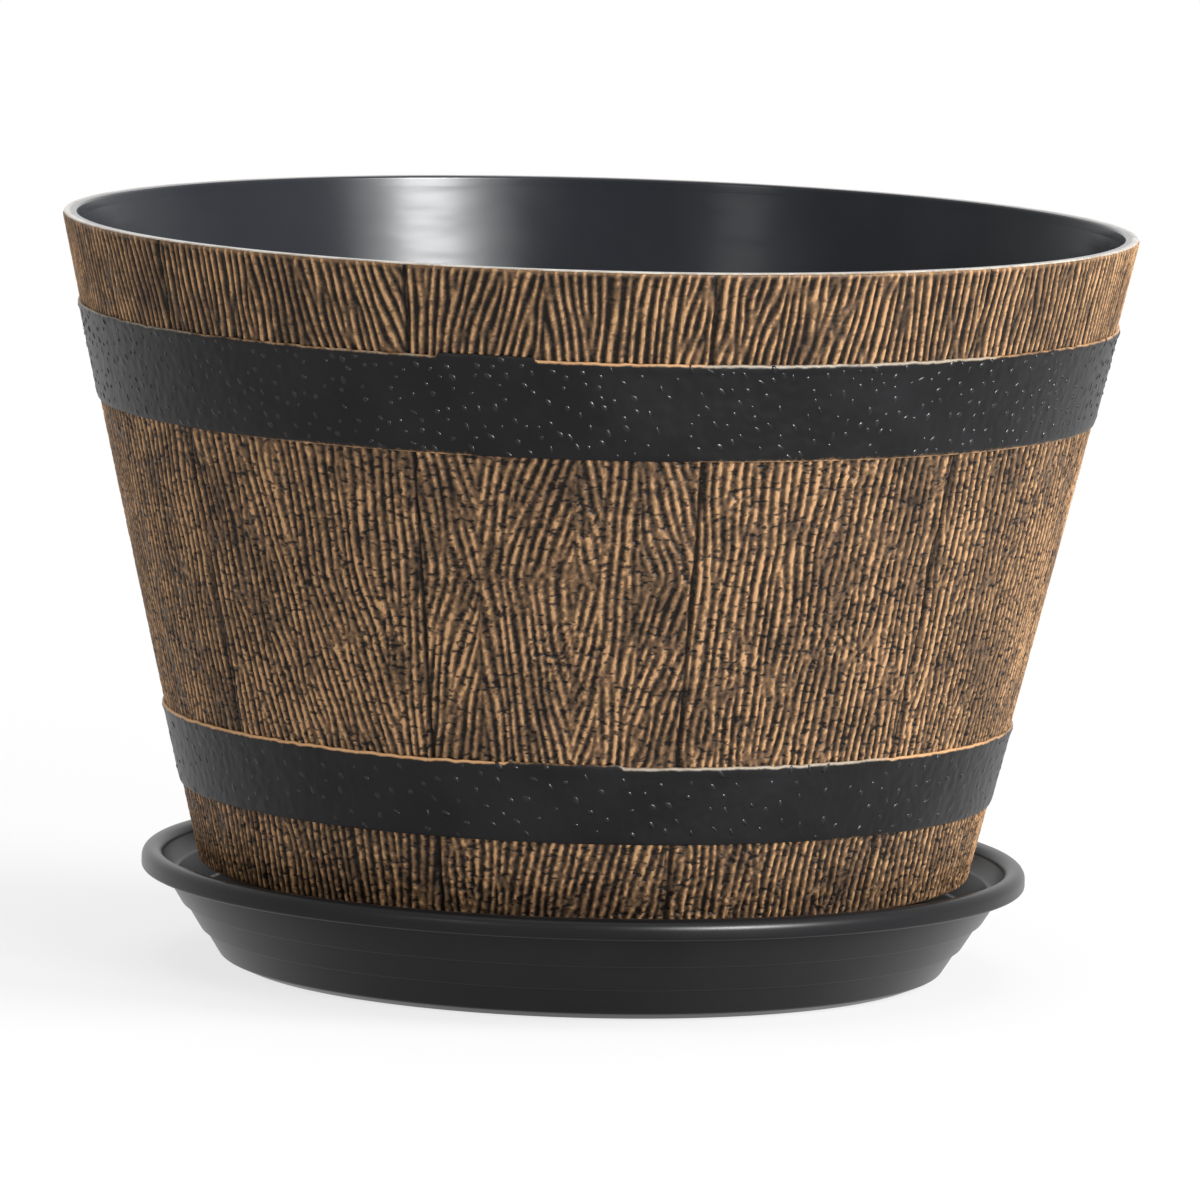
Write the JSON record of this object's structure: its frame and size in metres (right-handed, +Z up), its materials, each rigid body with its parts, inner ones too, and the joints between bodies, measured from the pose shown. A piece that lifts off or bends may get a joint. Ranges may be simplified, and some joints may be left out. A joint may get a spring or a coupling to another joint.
{
  "type": "barrel planter",
  "caption": "Tapered round planter moulded like a wooden half barrel, with ridged staves, raised hoops and drain holes, standing loose in a rolled-rim saucer.",
  "frame": {"origin": "on the ground, under the middle of the saucer", "axes": "+Z up, the axis of the round pot; the pictured side faces -Y"},
  "size_m": [0.305, 0.305, 0.2127],
  "materials": {
    "brushed_relief": "black plastic, moulded wood-grain ridges dry-brushed in tan",
    "satin_black": "satin black moulded plastic"
  },
  "bodies": {
    "saucer": {"saucer": "satin_black"},
    "pot": {"pot": "brushed_relief"}
  },
  "joints": [
    {"name": "pot_lift", "type": "slide", "parent": "saucer", "child": "pot", "axis": [0, 0, 1], "range_m": [0, 0.06]}
  ]
}
